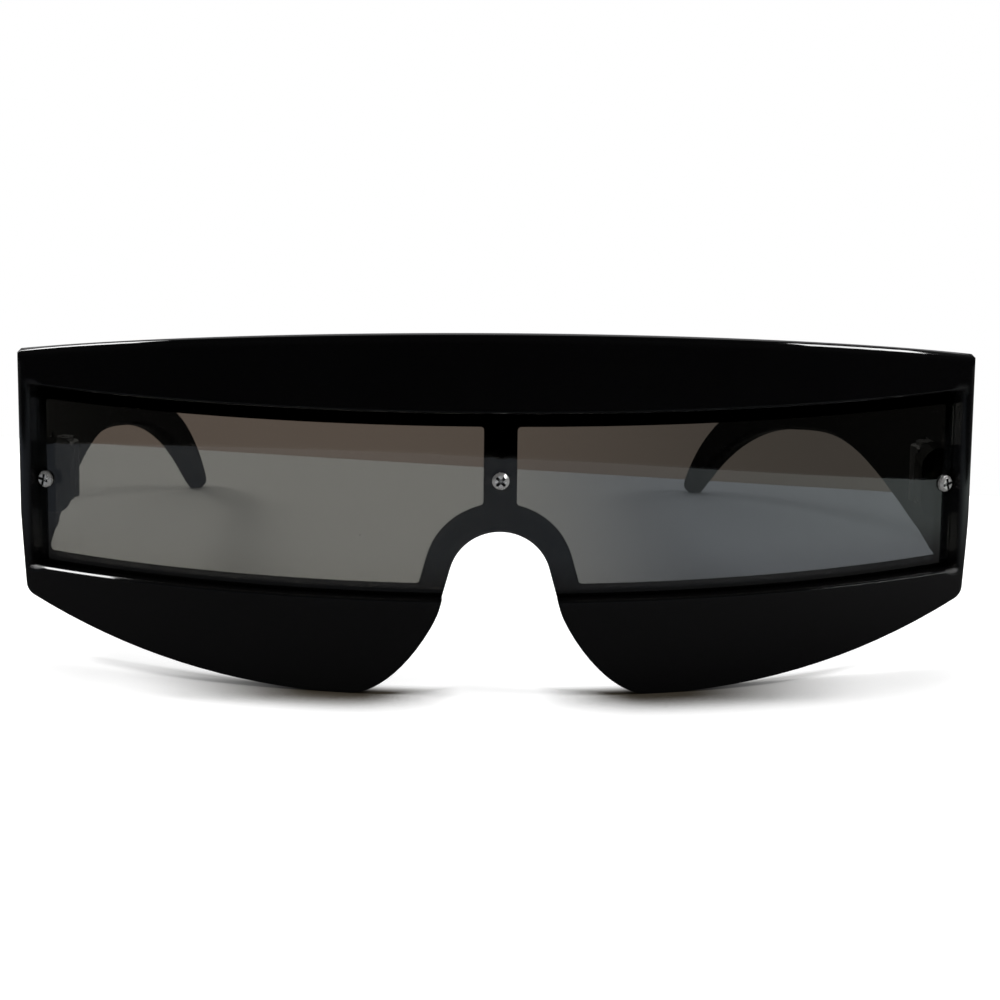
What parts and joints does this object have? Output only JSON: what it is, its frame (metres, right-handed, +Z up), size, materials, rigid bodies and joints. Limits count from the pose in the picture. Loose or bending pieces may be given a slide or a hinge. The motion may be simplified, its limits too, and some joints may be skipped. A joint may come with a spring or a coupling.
{
  "type": "shield sunglasses",
  "caption": "Flat-top shield sunglasses with a smoke wrap lens screwed into a stepped recess of a curved moulded front, and tall folding temples with hooked tips.",
  "frame": {"origin": "on the table, at the centre of the footprint's bounding box", "axes": "+X to the wearer's left along the front, -Y the way the wearer looks, +Z up from the table"},
  "size_m": [0.15, 0.1502, 0.056],
  "materials": {
    "front_plastic": "polished injection-moulded black",
    "temple_plastic": "polished injection-moulded black",
    "smoke_lens": "clear smoke-grey tinted sheet, polished both sides",
    "lens_screw_steel": "bright nickel plated, cross recess",
    "hinge_steel": "satin plated"
  },
  "bodies": {
    "front": {"frame_front": "front_plastic", "shield_lens": "smoke_lens", "lens_screw_right": "lens_screw_steel", "lens_screw_bridge": "lens_screw_steel", "lens_screw_left": "lens_screw_steel", "right_frame_hinge": "hinge_steel", "left_frame_hinge": "hinge_steel", "right_hinge_screw": "hinge_steel", "left_hinge_screw": "hinge_steel"},
    "right_temple": {"right_temple": "temple_plastic", "right_temple_hinge": "hinge_steel"},
    "left_temple": {"left_temple": "temple_plastic", "left_temple_hinge": "hinge_steel"}
  },
  "joints": [
    {"name": "right_temple_fold", "type": "hinge", "parent": "front", "child": "right_temple", "pos_m": [-0.0683, -0.04285, 0.0286], "axis": [0, 0, -1], "range_deg": [0, 86]},
    {"name": "left_temple_fold", "type": "hinge", "parent": "front", "child": "left_temple", "pos_m": [0.0683, -0.04285, 0.0286], "axis": [0, 0, 1], "range_deg": [-7, 72]}
  ]
}
